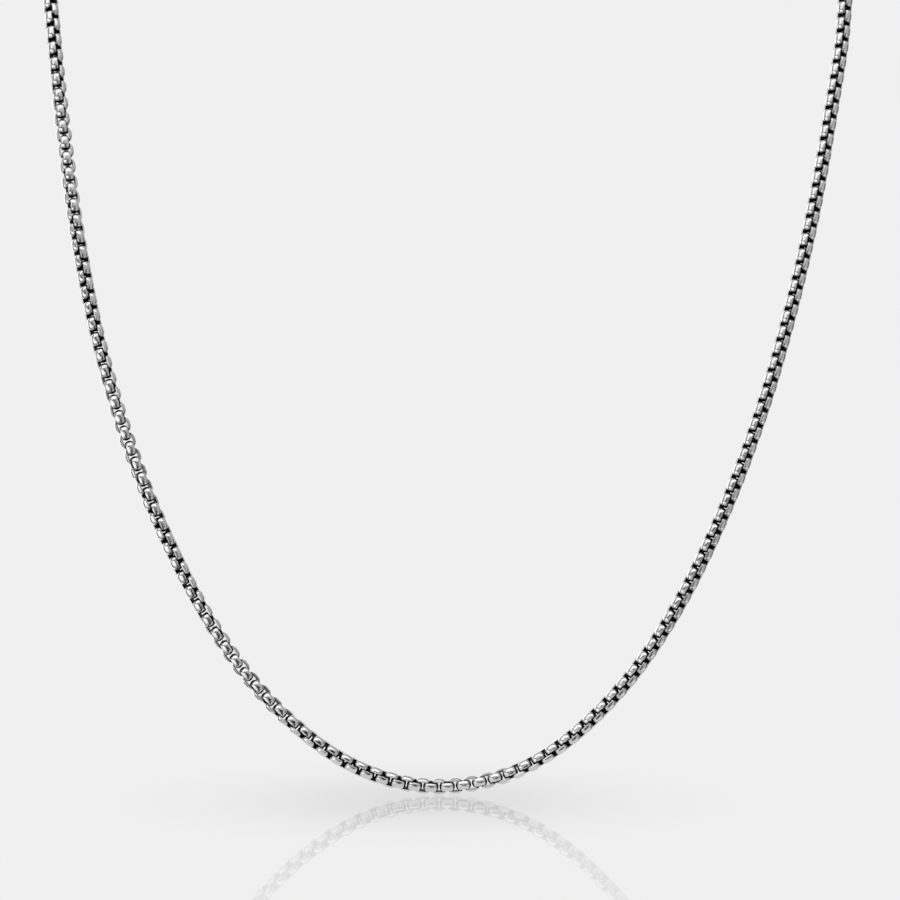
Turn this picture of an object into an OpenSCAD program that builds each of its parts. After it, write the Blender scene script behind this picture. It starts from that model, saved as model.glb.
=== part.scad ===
// Rounded box chain necklace, worn loop hanging from the nape of the neck.
// Front is -Y, up is +Z, the origin is the point of the nape that carries the loop.

/* [Link] */
// Width of a link across the chain
link_w = 3.0; // [2.8:0.1:3.4]
// Width of the half-round strip that a link is bent from
strip_w = 1.54; // [1.3:0.02:1.54]
// Thickness of the strip at its crown
strip_t = 0.5; // [0.44:0.02:0.54]
// Radius of the strip's domed outer face and of the link's four bends
dome_r = 0.9; // [0.85:0.05:1.1]
// Distance from one link's centre to the next one's
pitch = 1.571; // [1.45:0.001:1.7]
// Free play between two links that pull on each other
play = 0.34; // [0.26:0.01:0.36]

/* [Chain] */
// Length of the front stretch
front_length = 377; // [60:1:390]
// Place of the middle link along the chain, from the lowest point
mid_link = -0.3; // [-1.5:0.1:1.5]
// Number of sides of the hidden stretch
tube_sides = 8; // [8:1:12]
// Length between two rings of the hidden stretch
tube_step = 6.5; // [5:0.5:9]

/* [Clasp] */
// Length of the clasp's barrel
barrel_l = 8.0; // [6:0.5:10]
// Diameter of the clasp's barrel
barrel_d = 4.0; // [3.6:0.1:5]
// Radius of the barrel's rounded ends
barrel_round = 1.2; // [0.5:0.1:1.6]
// Outer diameter of the eye on each end
eye_d = 3.6; // [3.2:0.1:4.4]
// Diameter of the eye's wire
eye_wire = 0.8; // [0.6:0.05:1.0]
// Gap between an eye and the chain beside it
eye_gap = 0.3; // [0.2:0.05:0.6]

/* [Hidden] */
silver = [0.80, 0.80, 0.81];

// Points that the chain runs through, from the clasp down the left leg and up the right one
route = [
    [0, 0, 0], [-18, -2.5, 0], [-36, -10, 0.5], [-53, -22, 0.5], [-66, -36, -2], [-74.5, -49, -9.5],
    [-77.5, -58.5, -23],
    [-76.2, -65.5, -37.9], [-74, -70.7, -56.9], [-71, -75.8, -76.7], [-66.9, -80, -96.2],
    [-61.3, -82.3, -115.2], [-54.4, -83, -132.9], [-45.7, -83, -150], [-35.6, -83, -164],
    [-24.1, -83, -174.4], [-13, -83, -180.1], [-1.4, -83, -182],
    [11, -83, -179.8], [22.6, -83, -173.3], [34.3, -83, -161.7], [43.9, -83, -147.4],
    [52.3, -82.8, -130.1], [59.5, -79.8, -111.6], [65.4, -74.8, -92.7], [70.5, -69.2, -72.3],
    [74.5, -63.4, -51.5], [77, -58.8, -35.9],
    [77.5, -54, -20],
    [74, -45, -8], [65, -34, -1.5], [52, -21, 0.5], [36, -10, 0.5], [18, -2.5, 0], [0, 0, 0]
];

// Shift of the links along the chain, against the distance from the lowest point
slack = [
    // distance, shift
    [-186, 0.35],
    [-140, 0.33],
    [-95, -0.17],
    [-60, -0.22],
    [-45, 0],
    [-20, 0.46],
    [8, 0.46],
    [24, 0.2],
    [70, 0.15],
    [115, -0.23],
    [186, -0.23]
];

// Turn of a link's plane about the chain, against the distance from the lowest point
twist = [
    // distance, degrees
    [-189, 411],
    [-157, 361],
    [-130, 317],
    [-101.5, 274],
    [-74.5, 226],
    [-50.5, 180],
    [-23.5, 135],
    [2.5, 90],
    [20, 50],
    [28, 40],
    [45, 44],
    [90, 47],
    [186, 48]
];

link_l = pitch + 2 * strip_t + play;
front_links = 2 * round(front_length / pitch / 2);
steps = 24;
arc_sides = 32;
round_sides = 48;

function unit(v) = v / norm(v);
function span(a, b, c, d, t) =
    0.5 * (2 * b + (c - a) * t + (2 * a - 5 * b + 4 * c - d) * t * t + (3 * b - a - 3 * c + d) * t * t * t);
// The loop is closed, so its ends share their neighbours
last = len(route) - 1;
function stop_at(i) = route[i < 0 ? last - 1 : i > last ? 1 : i];
path = [
    for (i = [0 : last - 1])
        for (k = [0 : steps - 1])
            span(stop_at(i - 1), stop_at(i), stop_at(i + 1), stop_at(i + 2), k / steps),
    route[last]
];
leg = [for (i = [1 : len(path) - 1]) norm(path[i] - path[i - 1])];
arc = [for (i = 0, s = 0; i < len(path); s = s + (i < len(leg) ? leg[i] : 0), i = i + 1) s];
arc_x = [for (i = [0 : len(path) - 1]) [arc[i], path[i][0]]];
arc_y = [for (i = [0 : len(path) - 1]) [arc[i], path[i][1]]];
arc_z = [for (i = [0 : len(path) - 1]) [arc[i], path[i][2]]];
heights = [for (p = path) p[2]];
low = arc[search(min(heights), heights)[0]];
total = arc[len(arc) - 1];
function at(s) = [lookup(s, arc_x), lookup(s, arc_y), lookup(s, arc_z)];
function along(s, reach) = unit(at(s + reach) - at(s - reach));
// Direction square to the chain that faces the viewer most
function facing(t) = unit([0, -1, 0] + t[1] * t);

// The eye's wire sinks half its own width into the barrel's end
eye_x = barrel_l / 2 + eye_d / 2 - eye_wire / 2;
clasp_reach = eye_x + eye_d / 2 + eye_gap;

// Where the front links would lie if they hung evenly, where they do, and where their stretch ends
function even_at(i) = low + mid_link + pitch * (i + 1 - front_links / 2);
function link_at(i) = even_at(i) + lookup(even_at(i) - low, slack);
front_from = link_at(0) - link_l / 2;
front_to = link_at(front_links - 1) + link_l / 2;

// Cross-section of the strip: flat inside, domed outside, from the link's inner wall outwards
module strip() {
    intersection() {
        translate([0, -strip_w / 2]) square([strip_t, strip_w]);
        translate([strip_t - dome_r, 0]) circle(r = dome_r, $fn = arc_sides);
    }
}

// Straight run of the strip at one end of a link of the given reach
module run(reach, len) {
    translate([reach / 2 - strip_t, len / 2, 0]) rotate([90, 0, 0]) linear_extrude(height = len) strip();
}

// Bend at one corner, a quarter turn that leaves a piece of a ball outside
module bend() {
    translate([link_l / 2 - dome_r, link_w / 2 - dome_r, 0])
        rotate_extrude(angle = 90, $fn = arc_sides) translate([dome_r - strip_t, 0]) strip();
}

// One closed link, its length along X, its width along Y and the strip's width along Z
module link() {
    run(link_l, link_w - 2 * dome_r);
    rotate([0, 0, 180]) run(link_l, link_w - 2 * dome_r);
    rotate([0, 0, 90]) run(link_w, link_l - 2 * dome_r);
    rotate([0, 0, 270]) run(link_w, link_l - 2 * dome_r);
    bend();
    rotate([0, 0, 180]) bend();
    mirror([1, 0, 0]) bend();
    mirror([0, 1, 0]) bend();
}

// Puts a link at a distance along the chain, turned about it by an angle
module place(s, angle) {
    t = along(s, pitch / 2);
    n = facing(t);
    u = cos(angle) * cross(n, t) + sin(angle) * n;
    v = cross(t, u);
    c = at(s);
    rows = [for (k = [0 : 2]) [t[k], u[k], v[k], c[k]]];
    multmatrix([rows[0], rows[1], rows[2], [0, 0, 0, 1]]) children();
}

module chain_front() {
    color(silver)
        for (i = [0 : front_links - 1])
            place(link_at(i), lookup(even_at(i) - low, twist) + 90 * (i % 2)) link();
}

// Plain stand-in for the hidden links: a solid bar of regular section along the chain
module tube(from, to) {
    rings = ceil((to - from) / tube_step);
    points = [
        for (k = [0 : rings])
            let (s = from + (to - from) * k / rings, t = along(s, pitch), n = facing(t), u = cross(n, t))
                for (a = [0 : tube_sides - 1])
                    let (turn = 360 * (a + 0.5) / tube_sides)
                        at(s) + link_w / 2 * (cos(turn) * u + sin(turn) * n)
    ];
    faces = [
        [for (a = [0 : tube_sides - 1]) a],
        for (k = [0 : rings - 1])
            for (a = [0 : tube_sides - 1])
                let (b = (a + 1) % tube_sides, here = k * tube_sides, next = here + tube_sides)
                    each [[here + a, next + a, next + b], [here + a, next + b, here + b]],
        [for (a = [tube_sides - 1 : -1 : 0]) rings * tube_sides + a]
    ];
    polyhedron(points = points, faces = faces);
}

module chain_back() {
    color(silver) {
        tube(clasp_reach, front_from - eye_gap);
        tube(front_to + eye_gap, total - clasp_reach);
    }
}

module eye() {
    rotate_extrude($fn = round_sides)
        translate([(eye_d - eye_wire) / 2, 0]) circle(d = eye_wire, $fn = arc_sides);
}

// Plain barrel with an eye soldered to each end
module clasp() {
    color(silver) {
        rotate([0, 90, 0]) rotate_extrude($fn = round_sides) intersection() {
            union() {
                square([barrel_d - 2 * barrel_round, barrel_l], center = true);
                square([barrel_d, barrel_l - 2 * barrel_round], center = true);
                for (x = [-1, 1]) for (y = [-1, 1])
                    translate([x * (barrel_d / 2 - barrel_round), y * (barrel_l / 2 - barrel_round)])
                        circle(r = barrel_round, $fn = arc_sides);
            }
            translate([0, -barrel_l]) square([barrel_d, 2 * barrel_l]);
        }
        for (side = [-1, 1]) translate([side * eye_x, 0, 0]) eye();
    }
}

chain_front();
chain_back();
clasp();
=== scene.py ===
import math

import bpy
import numpy as np
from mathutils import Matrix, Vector


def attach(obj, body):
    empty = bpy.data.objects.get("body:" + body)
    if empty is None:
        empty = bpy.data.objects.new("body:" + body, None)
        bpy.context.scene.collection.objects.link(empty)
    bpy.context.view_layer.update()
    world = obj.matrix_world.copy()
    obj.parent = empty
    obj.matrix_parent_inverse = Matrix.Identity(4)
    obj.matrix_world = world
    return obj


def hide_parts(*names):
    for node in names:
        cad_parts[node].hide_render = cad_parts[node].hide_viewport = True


# Lengths are in millimetres, and turned into metres where they meet Blender
MM = 0.001

# The link: its width and pitch are the solids', its strip is a little thicker and hangs with less play
LINK_W = 3.0
PITCH = 1.571
STRIP_W = 1.57
STRIP_T = 0.59
PLAY = 0.14
LINK_L = PITCH + 2 * STRIP_T + PLAY
# Radius of the strip's domed outer face, and of the link's bends on their outside and inside
DOME_R = 1.12
BEND_OUT = 1.12
BEND_IN = 0.2
# Swell of the link's sides in their middle
SWELL = 0.05
# Rounding of the strip's outer and inner edges
EDGE_OUT = 0.1
EDGE_IN = 0.04
# Steps round a bend and along a straight run, and points across the dome
BEND_STEPS = 8
RUN_STEPS = 3
DOME_POINTS = 7
# Where painted shade starts on a bend and over how much it deepens, as shares of the way round to the
# link's end
PAINTED_SHADE_FROM = 0.62
PAINTED_SHADE_OVER = 0.25

# The chain: links of the front stretch, place of the middle one from the lowest point, uneven turn of the
# links about the chain in degrees, and how far apart in the noise their marks and dents may lie
FRONT_LINKS = 240
MID_LINK = -0.3
TURN_SPREAD = 0.7
NOISE_SPREAD = 50
# Start of the random draws of each piece
SEEDS = {"front_links_left": 5, "front_links_right": 7, "back_links": 6}

# The clasp, as in the solids
BARREL_L = 8.0
EYE_D = 3.6
EYE_WIRE = 0.8
# The link on each eye is longer and its strip narrower, so that it passes the eye: its length, width and
# strip width as shares of a link's, and the distance from the eye's middle to the link's inner wall
END_SCALE = (1.14, 1.0, 0.45)
END_REACH = 0.66

# Points that the chain runs through, as in the solids
ROUTE = [
    (0, 0, 0), (-18, -2.5, 0), (-36, -10, 0.5), (-53, -22, 0.5), (-66, -36, -2), (-74.5, -49, -9.5),
    (-77.5, -58.5, -23),
    (-76.2, -65.5, -37.9), (-74, -70.7, -56.9), (-71, -75.8, -76.7), (-66.9, -80, -96.2),
    (-61.3, -82.3, -115.2), (-54.4, -83, -132.9), (-45.7, -83, -150), (-35.6, -83, -164),
    (-24.1, -83, -174.4), (-13, -83, -180.1), (-1.4, -83, -182),
    (11, -83, -179.8), (22.6, -83, -173.3), (34.3, -83, -161.7), (43.9, -83, -147.4),
    (52.3, -82.8, -130.1), (59.5, -79.8, -111.6), (65.4, -74.8, -92.7), (70.5, -69.2, -72.3),
    (74.5, -63.4, -51.5), (77, -58.8, -35.9),
    (77.5, -54, -20),
    (74, -45, -8), (65, -34, -1.5), (52, -21, 0.5), (36, -10, 0.5), (18, -2.5, 0), (0, 0, 0),
]
PATH_STEPS = 24

# Shift of the links along the chain, against the distance from the lowest point, as in the solids
SLACK = [
    (-186, 0.35), (-140, 0.33), (-95, -0.17), (-60, -0.22), (-45, 0), (-20, 0.46),
    (8, 0.46), (24, 0.2), (70, 0.15), (115, -0.23), (186, -0.23),
]

# Turn of the links about the chain in degrees, against the distance from the lowest point, as in the solids
TWIST = [
    (-189, 411), (-157, 361), (-130, 317), (-101.5, 274), (-74.5, 226),
    (-50.5, 180), (-23.5, 135), (2.5, 90), (20, 50), (28, 40), (45, 44), (90, 47), (186, 48),
]

# Colours of clean silver and of the painted shade, and the shares of painted shade between which one turns
# into the other
SILVER_COLOR = (0.91, 0.91, 0.92, 1)
PAINTED_SHADE_COLOR = (0.02, 0.019, 0.018, 1)
PAINTED_SHADE_RAMP = (0.1, 0.9)
# How much more or less painted shade lies in patches, and the darkest and palest tone of a link
PAINTED_SHADE_PATCHES = 0.08
TONES = (0.95, 1.04)
# Roughness of the polish, what wear adds to it from a share of the way to the edge on, and what the painted
# shade adds
ROUGH = (0.07, 0.15)
WORN_FROM = 0.75
WORN_ROUGH = 0.12
PAINTED_SHADE_ROUGH = 0.25
# Depth of the fine marks and of the soft dents
MARK_DEPTH = 0.0012
DENT_DEPTH = 0.006
# Ends of the noise that marks and dents use, and the finer layers of the noise for each
NOISE_ENDS = (0.3, 0.7)
MARK_DETAIL = 2.0
DENT_DETAIL = 1.0
TONE_DETAIL = 0.0
# Waves in a millimetre of the links' marks and dents, along the strip and across it
LINK_MARKS = (0.9, 12.0, 1.0)
LINK_DENTS = (1.3, 1.6, 1.0)
# The same for the clasp's turning marks, dents and tone, along the barrel and across it
CLASP_MARKS = (9.0, 0.8, 0.8)
CLASP_DENTS = (1.2, 1.2, 1.2)
CLASP_TONE = (0.3, 0.3, 0.3)
# Painted shade in the seams at the barrel's ends: its share, and where it starts to fade and ends
SEAM_SHADE = 0.8
SEAM_REACH = (0.05, 0.35)
# Length of the worn stretch at each end of the barrel
CLASP_WORN = 1.6

# The camera: size of the picture, its scale at the front of the chain, the camera's distance from the point
# it looks at, its rise over that point in degrees, and the nearest and farthest that it sees
PHOTO_PX = 900
PX_PER_MM = 5.233
CAMERA_AWAY = 900.0
CAMERA_UP_DEG = 5.0
CAMERA_AIM = (0.38, -83.0, -117.07)
SENSOR_W = 36.0
CLIP_M = (0.01, 20.0)

# The floor and the pale grey of it and of the background
FLOOR_Z = -183.6
FLOOR_HALF = 3000.0
PALE = 0.8714

# Soft shadow on the floor: middle, size and depth
SHADOW_AT = (-4.5, -91.0)
SHADOW_SIZE = (24.0, 19.5)
SHADOW_DEPTH = 0.195

# Mirror of the floor: its strength under the chain, how far it reaches to the viewer and to the back
MIRROR_Y = -83.0
MIRROR_DEPTH = 0.22
MIRROR_NEAR = 270.0
MIRROR_BACK = 60.0
MIRROR_ROUGH = 0.02

# The studio, a ball whose inside glows: its middle, radius, angle between its points and plain brightness
STUDIO_AT = (0.0, -83.0, -110.0)
STUDIO_R = 1300.0
STUDIO_STEP = 1.5
STUDIO_BASE = 0.41
# Soft patches of light and dark on it: turn of the patch's middle from the viewer to the right, its rise
# above the horizon, half its width, half its height and its soft edge, all in degrees, and its brightness
STUDIO = [
    ("under", 0, -90, 180, 20, 8, 0.05),
    ("behind_low_left", -140, -44, 30, 14, 14, 1.1),
    ("box_top", -10, 85, 80, 44, 30, 1.25),
    ("box_top_left", -50, 32, 24, 13, 10, 1.05),
    ("back_wall", -159, 2, 36, 24, 28, 1.45),
    ("table_left", -52, -16, 32, 18, 22, 1.15),
    ("table_right", 68, -47, 26, 11, 10, 0.75),
    ("card_right", 106, -10, 16, 24, 8, 0.14),
    ("card_left", -84, 20, 12, 12, 14, 0.22),
    ("card_low_left", -110, -34, 14, 22, 9, 0.06),
    ("camera", 13, -16, 16, 19, 7, 0.06),
    ("belt", -24, 16, 9, 12, 6, 0.12),
    ("horizon", -8, 12, 52, 3.5, 5, 0.05),
    ("backdrop", 180, 0, 11, 15, 4, PALE),
]

# Card between the two legs, edge on to the camera: its outline in y and z above and below the floor, half
# its thickness, and the brightness of its side to the left leg and of the one to the right leg
CARD_X = CAMERA_AIM[0]
CARD_ABOVE = [(-118, -163), (-118, -145), (-500, -88), (-500, -183), (-345, -183)]
CARD_BELOW = [(-118, -184), (-500, -184), (-500, -700), (-118, -700)]
CARD_HALF = 0.01
CARD_SIDES = (0.03, 0.5)

# Lit oval just under the floor that the lowest links reflect: its middle, half sizes, depth and brightness,
# and the angle between the points of its rim
LIT_AT = (0.0, -83.0)
LIT_SIZE = (46.0, 12.0)
LIT_DEPTH = 0.1
LIT_LEVEL = 0.62
LIT_STEP = 7.5


def route_path():
    """The closed route as a dense row of points, and the distance along it at each."""
    pts = np.array(ROUTE, float)
    # The first and last point are the same, so each has a neighbour from the route's other end
    ring = np.vstack([pts[-2:-1], pts, pts[1:2]])
    t = np.arange(PATH_STEPS)[:, None] / PATH_STEPS
    rows = []
    for a, b, c, d in zip(ring, ring[1:], ring[2:], ring[3:]):
        square = 2 * a - 5 * b + 4 * c - d
        cube = 3 * b - a - 3 * c + d
        rows.append(0.5 * (2 * b + (c - a) * t + square * t**2 + cube * t**3))
    path = np.vstack(rows + [pts[-1:]])
    steps = np.linalg.norm(np.diff(path, axis=0), axis=1)
    return path, np.concatenate([[0.0], np.cumsum(steps)])


PATH, ARC = route_path()
LOW = ARC[np.argmin(PATH[:, 2])]
TOTAL = ARC[-1]


def at(s):
    """Points of the route at distances s along it."""
    return np.stack([np.interp(s, ARC, PATH[:, k]) for k in range(3)], axis=-1)


def read_table(table, s):
    """Values of a table that is kept against the distance from the lowest point."""
    return np.interp(s - LOW, *np.array(table).T)


def unit(v):
    return v / np.linalg.norm(v, axis=-1, keepdims=True)


def link_frames(s, turn_deg):
    """Centres of links at distances s, and their axes along the chain, across the link and its strip."""
    t = unit(at(s + PITCH / 2) - at(s - PITCH / 2))
    # Direction square to the chain that faces the viewer most
    n = unit(np.array([0.0, -1.0, 0.0]) + t[:, 1:2] * t)
    a = np.radians(turn_deg)[:, None]
    u = np.cos(a) * np.cross(n, t) + np.sin(a) * n
    v = np.cross(t, u)
    return at(s), np.stack([t, u, v], axis=1)


def rounded_loop(half_x, half_y, r):
    """Points and outward directions round a rectangle with rounded corners."""
    pts = []
    dirs = []
    corners = [(1, 1), (-1, 1), (-1, -1), (1, -1)]
    for k, (sx, sy) in enumerate(corners):
        middle = np.array([sx * (half_x - r), sy * (half_y - r)])
        for j in range(BEND_STEPS + 1):
            a = math.pi / 2 * (k + j / BEND_STEPS)
            way = np.array([math.cos(a), math.sin(a)])
            dirs.append(way)
            pts.append(middle + r * way)
        nx, ny = corners[(k + 1) % 4]
        start = pts[-1]
        end = np.array([nx * (half_x - r), ny * (half_y - r)]) + r * way
        for j in range(1, RUN_STEPS):
            dirs.append(way)
            pts.append(start + (end - start) * j / RUN_STEPS)
    return np.array(pts), np.array(dirs)


def strip_section():
    """Points round the strip: distance from its inner wall, place across its width, angle of the normal."""
    half = STRIP_W / 2
    lean = math.asin((half - EDGE_OUT) / (DOME_R - EDGE_OUT))
    # Height of the middle of the outer edges' rounding, and the angles on it
    base = STRIP_T - DOME_R + (DOME_R - EDGE_OUT) * math.cos(lean)
    slope = (lean + math.pi / 2) / 2
    rows = []
    for a in np.linspace(-lean, lean, DOME_POINTS):
        rows.append((STRIP_T - DOME_R * (1 - math.cos(a)), DOME_R * math.sin(a), a))
    for a in (slope, math.pi / 2):
        rows.append((base + EDGE_OUT * math.cos(a), half - EDGE_OUT + EDGE_OUT * math.sin(a), a))
    # The inner wall, with an edge on each side whose normals lean a little to each other
    rows.append((EDGE_IN, half, math.pi * 0.55))
    rows.append((0.0, half - EDGE_IN, math.pi * 0.95))
    rows.append((0.0, 0.0, math.pi))
    rows.append((0.0, EDGE_IN - half, math.pi * 1.05))
    rows.append((EDGE_IN, -half, math.pi * 1.45))
    for a in (-math.pi / 2, -slope):
        rows.append((base + EDGE_OUT * math.cos(a), EDGE_OUT - half + EDGE_OUT * math.sin(a), a))
    return np.array(rows)


def link_template():
    """One link: points, normals, quads, recess and edge at each point, and its run and width as UVs."""
    half_x, half_y = LINK_L / 2, LINK_W / 2
    outer, out_dirs = rounded_loop(half_x, half_y, BEND_OUT)
    inner, _ = rounded_loop(half_x - STRIP_T, half_y - STRIP_T, BEND_IN)
    swell = SWELL * np.clip(1 - (outer[:, :1] / half_x) ** 2, 0, 1) * out_dirs[:, 1:] ** 2
    swell += SWELL * np.clip(1 - (outer[:, 1:] / half_y) ** 2, 0, 1) * out_dirs[:, :1] ** 2
    outer = outer + swell * out_dirs
    ahead = np.roll(outer, -1, axis=0) - np.roll(outer, 1, axis=0)
    swollen_dirs = unit(np.stack([ahead[:, 1], -ahead[:, 0]], axis=1))
    section = strip_section()
    n, m = len(outer), len(section)
    share = section[None, :, :1] / STRIP_T
    flat = inner[:, None, :] * (1 - share) + outer[:, None, :] * share
    high = np.broadcast_to(section[None, :, 1:2], (n, m, 1))
    verts = np.concatenate([flat, high], axis=2).reshape(-1, 3)
    # The outer half of the section follows the swollen sides, the inner half the plain ones
    lean = section[None, :, 2:]
    ways = np.where(np.cos(lean) > 0, swollen_dirs[:, None, :], out_dirs[:, None, :])
    side = np.broadcast_to(np.sin(lean), (n, m, 1))
    normals = np.concatenate([ways * np.cos(lean), side], axis=2).reshape(-1, 3)
    i = np.arange(n)[:, None]
    j = np.arange(m)[None, :]
    a = i * m + j
    b = ((i + 1) % n) * m + j
    c = ((i + 1) % n) * m + (j + 1) % m
    d = i * m + (j + 1) % m
    faces = np.stack([a, b, c, d], axis=-1).reshape(-1, 4)
    # Painted shade, dark where the strip has bent away from the link's sides, and on its flat inner wall
    bent = np.clip((np.abs(out_dirs[:, 0]) - PAINTED_SHADE_FROM) / PAINTED_SHADE_OVER, 0, 1)
    inside = (section[:, 0] < EDGE_IN / 2).astype(float)
    recess = np.maximum(bent[:, None], inside[None, :]).reshape(-1)
    edge = np.tile(np.abs(section[:, 1]) / (STRIP_W / 2), n)
    run = np.concatenate([[0], np.cumsum(np.linalg.norm(np.diff(outer, axis=0), axis=1))])
    along = np.broadcast_to(run[:, None], (n, m))
    across = np.broadcast_to(section[None, :, 1], (n, m))
    return verts, normals, faces, recess, edge, np.stack([along, across], axis=-1).reshape(-1, 2)


def add_object(name, verts, faces):
    """New object from points in millimetres."""
    mesh = bpy.data.meshes.new(name)
    mesh.from_pydata((np.array(verts, float) * MM).tolist(), [], faces)
    piece = bpy.data.objects.new(name, mesh)
    bpy.context.scene.collection.objects.link(piece)
    return piece


def set_values(piece, label, values):
    """A number at each point, which a material can read."""
    layer = piece.data.attributes.new(label, "FLOAT", "POINT")
    layer.data.foreach_set("value", np.asarray(values, np.float32))


def chain_piece(name, node, s, turn_deg, scale, material):
    """Links at distances s as one piece in place of a node, whose part is hidden, each stretched by its row
    of scale.
    """
    rng = np.random.default_rng(SEEDS[name])
    verts, normals, faces, recess, edge, uv = link_template()
    count = len(s)
    centres, axes = link_frames(s, turn_deg + rng.normal(0, TURN_SPREAD, count))
    pts = centres[:, None, :] + np.einsum("kvi,kij->kvj", verts * scale[:, None], axes)
    quads = (faces[None] + (np.arange(count) * len(verts))[:, None, None]).reshape(-1, 4)
    piece = add_object(name, pts.reshape(-1, 3), quads.tolist())
    mesh = piece.data
    mesh.polygons.foreach_set("use_smooth", np.ones(len(quads), bool))
    # The recess values carry the painted shade on the links' bends and inner walls
    set_values(piece, "recess", np.tile(recess, count))
    set_values(piece, "edge", np.tile(edge, count))
    set_values(piece, "tone", np.repeat(rng.uniform(0, 1, count), len(verts)))
    # Each link has its own place in the noise
    all_uv = (uv[None] + rng.uniform(0, NOISE_SPREAD, (count, 1, 2))).reshape(-1, 2)
    layer = mesh.uv_layers.new(name="strip")
    layer.data.foreach_set("uv", all_uv[quads.reshape(-1)].astype(np.float32).reshape(-1))
    mesh.validate()
    ways = unit(np.einsum("vi,kij->kvj", normals, axes).reshape(-1, 3))
    mesh.normals_split_custom_set_from_vertices(ways.tolist())
    mesh.materials.append(material)
    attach(piece, "root")
    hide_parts(node)


def add(tree, kind, **values):
    """New shader node with its settings."""
    node = tree.nodes.new(kind)
    for key, value in values.items():
        setattr(node, key, value)
    return node


def new_material(name):
    """New material, its empty tree and its output."""
    material = bpy.data.materials.new(name)
    material.use_nodes = True
    tree = material.node_tree
    tree.nodes.clear()
    return material, tree, add(tree, "ShaderNodeOutputMaterial").inputs["Surface"]


def math_node(tree, op, a, b=None, clamp=False):
    """Sum, product or other operation of one or two numbers or sockets."""
    node = add(tree, "ShaderNodeMath", operation=op, use_clamp=clamp)
    for slot, value in enumerate([a, b]):
        if value is None:
            continue
        if isinstance(value, (int, float)):
            node.inputs[slot].default_value = value
        else:
            tree.links.new(value, node.inputs[slot])
    return node.outputs[0]


def noise(tree, vector, stretch, detail):
    """Noise over a vector that is scaled by stretch, from 0 to 1."""
    scaled = add(tree, "ShaderNodeVectorMath", operation="MULTIPLY")
    scaled.inputs[1].default_value = stretch
    tree.links.new(vector, scaled.inputs[0])
    node = add(tree, "ShaderNodeTexNoise")
    node.inputs["Scale"].default_value = 1.0
    node.inputs["Detail"].default_value = detail
    tree.links.new(scaled.outputs[0], node.inputs["Vector"])
    return node.outputs["Fac"]


def remap(tree, value, source, target):
    """The value brought from one range to another, held at its ends."""
    node = add(tree, "ShaderNodeMapRange")
    for slot, number in zip(("From Min", "From Max", "To Min", "To Max"), (*source, *target)):
        node.inputs[slot].default_value = number
    tree.links.new(value, node.inputs["Value"])
    return node.outputs["Result"]


def bump(tree, height, depth, normal=None):
    """Normal of a surface with a relief of a given depth."""
    node = add(tree, "ShaderNodeBump")
    node.inputs["Strength"].default_value = 1.0
    node.inputs["Distance"].default_value = depth * MM
    tree.links.new(height, node.inputs["Height"])
    if normal is not None:
        tree.links.new(normal, node.inputs["Normal"])
    return node.outputs["Normal"]


def finish_silver(tree, surface, painted_shade, wear, tone, marks, dents):
    """Polished silver: dark with painted shade where painted_shade is 1, duller where wear is 1, with fine
    marks and soft dents.
    """
    shader = add(tree, "ShaderNodeBsdfPrincipled")
    shader.inputs["Metallic"].default_value = 1.0
    ramp = add(tree, "ShaderNodeValToRGB")
    for element, place, color in zip(ramp.color_ramp.elements, PAINTED_SHADE_RAMP, (SILVER_COLOR, PAINTED_SHADE_COLOR)):
        element.position = place
        element.color = color
    # Painted shade, more or less in patches, turns the clean silver's colour dark
    patches = remap(tree, dents, NOISE_ENDS, (-PAINTED_SHADE_PATCHES, PAINTED_SHADE_PATCHES))
    tree.links.new(math_node(tree, "ADD", painted_shade, patches, clamp=True), ramp.inputs["Fac"])
    tinted = add(tree, "ShaderNodeMix", data_type="RGBA", blend_type="MULTIPLY")
    tinted.inputs["Factor"].default_value = 1.0
    tree.links.new(ramp.outputs["Color"], tinted.inputs["A"])
    tree.links.new(remap(tree, tone, (0.0, 1.0), TONES), tinted.inputs["B"])
    tree.links.new(tinted.outputs["Result"], shader.inputs["Base Color"])
    polish = remap(tree, marks, NOISE_ENDS, ROUGH)
    worn = remap(tree, wear, (WORN_FROM, 1.0), (0.0, WORN_ROUGH))
    roughness_in_shade = math_node(tree, "MULTIPLY", painted_shade, PAINTED_SHADE_ROUGH)
    rough = math_node(tree, "ADD", math_node(tree, "ADD", polish, worn), roughness_in_shade)
    tree.links.new(rough, shader.inputs["Roughness"])
    relief = bump(tree, marks, MARK_DEPTH, bump(tree, dents, DENT_DEPTH))
    tree.links.new(relief, shader.inputs["Normal"])
    tree.links.new(shader.outputs[0], surface)


def silver_material():
    """The links' silver, with painted shade in the recesses, with a tone of its own for each link."""
    material, tree, surface = new_material("silver_polished")
    painted_shade, wear, tone = [
        add(tree, "ShaderNodeAttribute", attribute_name=label).outputs["Fac"]
        for label in ("recess", "edge", "tone")
    ]
    strip = add(tree, "ShaderNodeUVMap", uv_map="strip").outputs[0]
    marks = noise(tree, strip, LINK_MARKS, MARK_DETAIL)
    dents = noise(tree, strip, LINK_DENTS, DENT_DETAIL)
    finish_silver(tree, surface, painted_shade, wear, tone, marks, dents)
    return material


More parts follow.
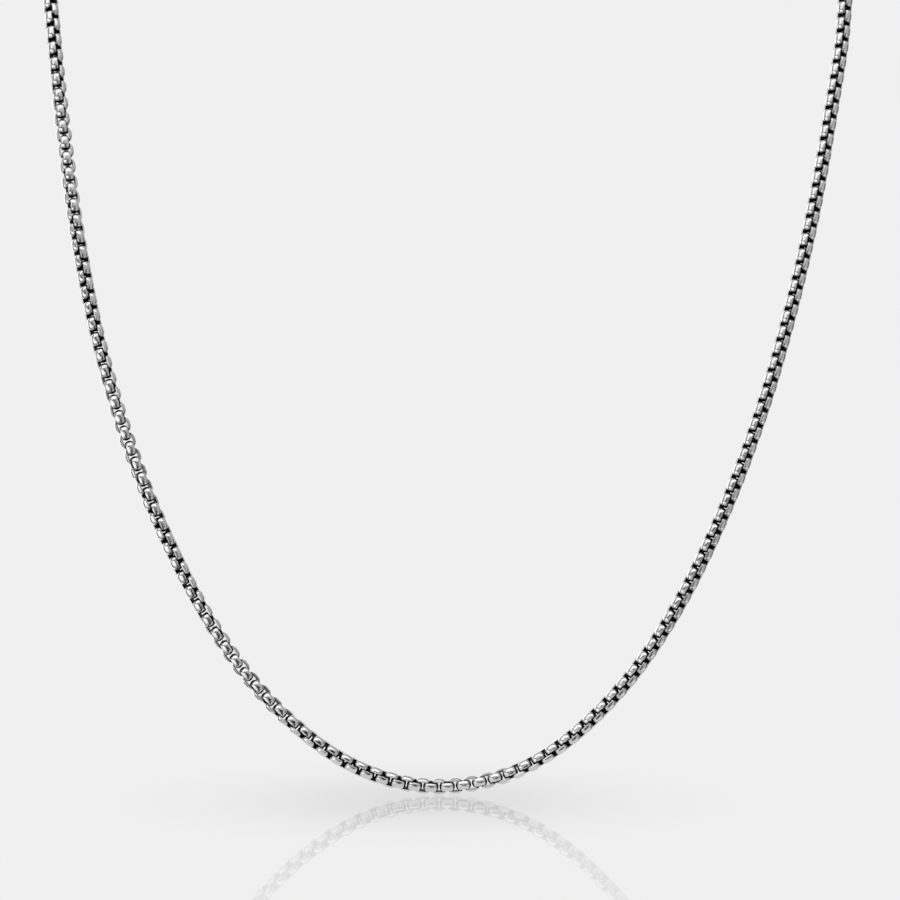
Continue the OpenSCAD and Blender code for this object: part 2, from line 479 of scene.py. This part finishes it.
def clasp_material():
    """The clasp's silver, with painted shade in the seams round its eyes and turning marks round its
    barrel.
    """
    material, tree, surface = new_material("silver_clasp")
    scaled = add(tree, "ShaderNodeVectorMath", operation="SCALE")
    scaled.inputs["Scale"].default_value = 1 / MM
    tree.links.new(add(tree, "ShaderNodeTexCoord").outputs["Object"], scaled.inputs[0])
    place = scaled.outputs[0]
    split = add(tree, "ShaderNodeSeparateXYZ")
    tree.links.new(place, split.inputs[0])
    along = math_node(tree, "ABSOLUTE", split.outputs[0])
    seam = math_node(tree, "ABSOLUTE", math_node(tree, "SUBTRACT", along, BARREL_L / 2))
    # Painted shade in the seams at the barrel's ends, fading away from them
    painted_shade = remap(tree, seam, SEAM_REACH, (SEAM_SHADE, 0.0))
    wear = remap(tree, along, (BARREL_L / 2 - CLASP_WORN, BARREL_L / 2), (WORN_FROM, 1.0))
    tone = noise(tree, place, CLASP_TONE, TONE_DETAIL)
    marks = noise(tree, place, CLASP_MARKS, MARK_DETAIL)
    dents = noise(tree, place, CLASP_DENTS, DENT_DETAIL)
    finish_silver(tree, surface, painted_shade, wear, tone, marks, dents)
    return material


def floor_material():
    """Pale floor: a soft shadow under the chain and a faint mirror that fades to the front and back."""
    material, tree, surface = new_material("pale_floor")
    split = add(tree, "ShaderNodeSeparateXYZ")
    tree.links.new(add(tree, "ShaderNodeNewGeometry").outputs["Position"], split.inputs[0])

    def offset(axis, middle, size):
        away = math_node(tree, "SUBTRACT", split.outputs[axis], middle * MM)
        return math_node(tree, "DIVIDE", away, size * MM)

    x = offset(0, SHADOW_AT[0], SHADOW_SIZE[0])
    y = offset(1, SHADOW_AT[1], SHADOW_SIZE[1])
    far = math_node(tree, "ADD", math_node(tree, "MULTIPLY", x, x), math_node(tree, "MULTIPLY", y, y))
    bell = math_node(tree, "EXPONENT", math_node(tree, "MULTIPLY", far, -0.5))
    light = add(tree, "ShaderNodeEmission")
    light.inputs["Color"].default_value = (PALE, PALE, PALE, 1)
    shade = math_node(tree, "SUBTRACT", 1.0, math_node(tree, "MULTIPLY", bell, SHADOW_DEPTH))
    tree.links.new(shade, light.inputs["Strength"])
    mirror = add(tree, "ShaderNodeBsdfGlossy")
    mirror.inputs["Color"].default_value = (1, 1, 1, 1)
    mirror.inputs["Roughness"].default_value = MIRROR_ROUGH
    near = offset(1, MIRROR_Y, -MIRROR_NEAR)
    back = offset(1, MIRROR_Y, MIRROR_BACK)
    faded = math_node(tree, "SUBTRACT", 1.0, math_node(tree, "MAXIMUM", near, back), clamp=True)
    mix = add(tree, "ShaderNodeMixShader")
    tree.links.new(math_node(tree, "MULTIPLY", faded, MIRROR_DEPTH), mix.inputs[0])
    tree.links.new(light.outputs[0], mix.inputs[1])
    tree.links.new(mirror.outputs[0], mix.inputs[2])
    tree.links.new(mix.outputs[0], surface)
    return material


def glow_material():
    """Light as strong as the glow at each point."""
    material, tree, surface = new_material("studio_glow")
    light = add(tree, "ShaderNodeEmission")
    glow = add(tree, "ShaderNodeAttribute", attribute_name="glow")
    tree.links.new(glow.outputs["Fac"], light.inputs["Strength"])
    tree.links.new(light.outputs[0], surface)
    return material


def build_world():
    world = bpy.data.worlds.new("studio")
    bpy.context.scene.world = world
    world.use_nodes = True
    tree = world.node_tree
    tree.nodes.clear()
    out = add(tree, "ShaderNodeOutputWorld")
    back = add(tree, "ShaderNodeBackground")
    back.inputs["Color"].default_value = (PALE, PALE, PALE, 1)
    tree.links.new(back.outputs[0], out.inputs["Surface"])


def build_camera():
    data = bpy.data.cameras.new("camera")
    camera = bpy.data.objects.new("camera", data)
    bpy.context.scene.collection.objects.link(camera)
    up = math.radians(CAMERA_UP_DEG)
    aim = Vector(CAMERA_AIM) * MM
    camera.location = aim + Vector((0, -math.cos(up), math.sin(up))) * CAMERA_AWAY * MM
    camera.rotation_euler = (math.pi / 2 - up, 0, 0)
    data.sensor_width = SENSOR_W
    data.lens = SENSOR_W * PX_PER_MM * CAMERA_AWAY / PHOTO_PX
    data.clip_start, data.clip_end = CLIP_M
    bpy.context.scene.camera = camera


def build_floor():
    """The floor, which the camera sees and the chain doesn't reflect."""
    corners = [(-1, -1), (1, -1), (1, 1), (-1, 1)]
    verts = [(x * FLOOR_HALF, y * FLOOR_HALF, FLOOR_Z) for x, y in corners]
    floor = add_object("floor", verts, [(0, 1, 2, 3)])
    floor.data.materials.append(floor_material())
    floor.visible_glossy = False


def glowing_stage(name, verts, faces, glow, material):
    """A part of the light, which only the chain's reflections and the floor's mirror see."""
    piece = add_object(name, verts, faces)
    set_values(piece, "glow", glow)
    piece.data.materials.append(material)
    piece.visible_camera = False
    piece.visible_shadow = False


def studio_glow(turn, rise):
    """Brightness of the studio in a direction, from its soft patches."""
    glow = np.full(np.shape(turn), STUDIO_BASE)
    for _, mid_turn, mid_rise, half_turn, half_rise, soft, level in STUDIO:
        off_turn = np.abs((turn - mid_turn + 180) % 360 - 180)
        off_rise = np.abs(rise - mid_rise)
        share = 1.0
        for off, half in ((off_turn, half_turn), (off_rise, half_rise)):
            w = np.clip((half + soft / 2 - off) / soft, 0, 1)
            share = share * w * w * (3 - 2 * w)
        glow = glow * (1 - share) + level * share
    return glow


def build_studio(material):
    """The ball round the chain."""
    turns = np.arange(-180, 180, STUDIO_STEP)
    rises = np.arange(-90, 90 + STUDIO_STEP / 2, STUDIO_STEP)
    turn, rise = np.meshgrid(turns, rises)
    a, b = np.radians(turn), np.radians(rise)
    way = np.stack([np.sin(a) * np.cos(b), -np.cos(a) * np.cos(b), np.sin(b)], axis=-1)
    verts = (np.array(STUDIO_AT) + STUDIO_R * way).reshape(-1, 3)
    n = len(turns)
    faces = []
    for i in range(len(rises) - 1):
        for j in range(n):
            k = (j + 1) % n
            faces.append((i * n + j, i * n + k, (i + 1) * n + k, (i + 1) * n + j))
    glowing_stage("studio", verts, faces, studio_glow(turn, rise).reshape(-1), material)


def build_card(material):
    """The card between the legs, dark on its left side and pale on its right one."""
    verts = []
    faces = []
    glow = []
    for side, level in zip((-CARD_HALF, CARD_HALF), CARD_SIDES):
        for outline in (CARD_ABOVE, CARD_BELOW):
            faces.append(tuple(range(len(verts), len(verts) + len(outline))))
            verts += [(CARD_X + side, y, z) for y, z in outline]
            glow += [level] * len(outline)
    glowing_stage("card", verts, faces, glow, material)


def build_lit_floor(material):
    """The lit oval under the lowest links."""
    rim = []
    for a in np.radians(np.arange(0, 360, LIT_STEP)):
        x = LIT_AT[0] + LIT_SIZE[0] * math.cos(a)
        y = LIT_AT[1] + LIT_SIZE[1] * math.sin(a)
        rim.append((x, y, FLOOR_Z - LIT_DEPTH))
    glowing_stage("lit_floor", rim, [tuple(range(len(rim)))], [LIT_LEVEL] * len(rim), material)


def build_front(material):
    """The stretch that the picture shows, in two pieces. Gives the places and turns of all its links."""
    index = np.arange(FRONT_LINKS)
    even_s = LOW + MID_LINK + PITCH * (index + 1 - FRONT_LINKS / 2)
    s = even_s + read_table(SLACK, even_s)
    turn = read_table(TWIST, even_s) + 90 * (index % 2)
    half = FRONT_LINKS // 2
    plain = np.ones((half, 3))
    chain_piece("front_links_left", "chain_front", s[:half], turn[:half], plain, material)
    chain_piece("front_links_right", "chain_front", s[half:], turn[half:], plain, material)
    return s, turn


def hidden_side(start, start_turn, odd, near_end, end):
    """Places and turns of the links from the front stretch's last link to the one on the eye."""
    count = round(abs(end - start) / PITCH)
    k = np.arange(1, count + 1)
    s = np.append(start + (near_end - start) * k[:-1] / (count - 1), end)
    # The turn eases to one at which the last link stands square to the eye
    base = start_turn - 90 * odd
    last = 90 * ((odd + count) % 2)
    finish = round((base + last) / 180) * 180 - last
    turn = base + (finish - base) * k / count + 90 * ((odd + k) % 2)
    return s, turn


def build_back(front_s, front_turn, material):
    """The hidden stretch: the same links on both sides, up to the clasp's eyes."""
    end_wall = BARREL_L / 2 + EYE_D / 2 - EYE_WIRE / 2 + END_REACH
    inner_half = LINK_L / 2 - STRIP_T
    end_s = end_wall + END_SCALE[0] * inner_half
    next_s = end_wall + END_SCALE[0] * 2 * inner_half - PLAY + inner_half
    left_s, left_turn = hidden_side(front_s[0], front_turn[0], 0, next_s, end_s)
    right_s, right_turn = hidden_side(front_s[-1], front_turn[-1], 1, TOTAL - next_s, TOTAL - end_s)
    s = np.concatenate([left_s, right_s])
    turn = np.concatenate([left_turn, right_turn])
    scale = np.ones((len(s), 3))
    scale[[len(left_s) - 1, len(s) - 1]] = END_SCALE
    chain_piece("back_links", "chain_back", s, turn, scale, material)


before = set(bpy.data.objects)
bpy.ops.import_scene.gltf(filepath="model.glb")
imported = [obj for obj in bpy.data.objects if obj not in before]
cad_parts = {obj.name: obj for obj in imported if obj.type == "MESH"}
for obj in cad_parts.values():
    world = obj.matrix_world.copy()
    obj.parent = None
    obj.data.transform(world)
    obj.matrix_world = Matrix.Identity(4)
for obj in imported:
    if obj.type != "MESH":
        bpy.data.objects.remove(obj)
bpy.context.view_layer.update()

bpy.context.scene.view_settings.view_transform = "Standard"
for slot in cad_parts["clasp"].material_slots:
    slot.material = clasp_material()

silver = silver_material()
front_s, front_turn = build_front(silver)
build_back(front_s, front_turn, silver)

build_camera()
build_world()
build_floor()
glow = glow_material()
build_studio(glow)
build_card(glow)
build_lit_floor(glow)
